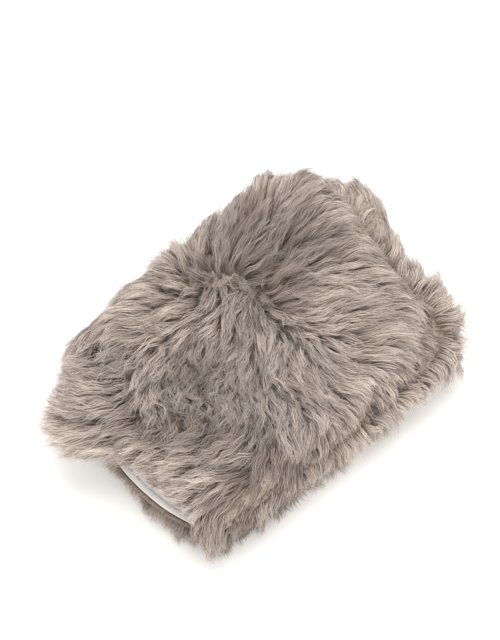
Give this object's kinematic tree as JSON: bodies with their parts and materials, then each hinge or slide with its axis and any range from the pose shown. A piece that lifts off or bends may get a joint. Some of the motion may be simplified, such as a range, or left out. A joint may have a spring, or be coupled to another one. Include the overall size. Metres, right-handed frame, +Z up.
{
  "type": "wash mitt",
  "caption": "Long-wool sheepskin wash mitt: two fleece panels joined by a fleece side wall round a lined hand pocket, open at one end with a bound mouth.",
  "frame": {"origin": "centre of the footprint, on the surface that the mitt lies on", "axes": "+X from the open mouth towards the closed tip, +Y across the hand to the side with the cuff lobe, +Z up through the back of the mitt"},
  "size_m": [0.3017, 0.1992, 0.062],
  "materials": {
    "fleece": "long crimped taupe wool pile, combed in swirls, paler at the tips and dark at the roots",
    "palm_fleece": "long taupe wool pile pressed flat under the palm",
    "wall_fleece": "taupe wool pile standing outwards round the side wall",
    "hide": "tanned sheepskin, suede flesh side, brown at the cut edge",
    "lining": "smooth off-white woven lining cloth, matt",
    "binding": "folded white binding tape, fine weave",
    "thread": "spun sewing thread, matt"
  },
  "bodies": {
    "root": {"bottom_fleece": "palm_fleece", "bottom_hide": "hide", "bottom_lining": "lining", "bottom_mouth_binding": "binding", "bottom_seam_stitches": "thread", "bottom_binding_stitches": "thread", "right_side_fleece": "wall_fleece", "right_side_hide": "hide", "tip_fleece": "wall_fleece", "tip_hide": "hide", "left_side_fleece": "wall_fleece", "left_side_hide": "hide", "wall_lining": "lining", "top_fleece": "fleece", "top_hide": "hide", "top_lining": "lining", "top_mouth_binding": "binding", "top_seam_stitches": "thread", "top_binding_stitches": "thread"}
  },
  "joints": []
}
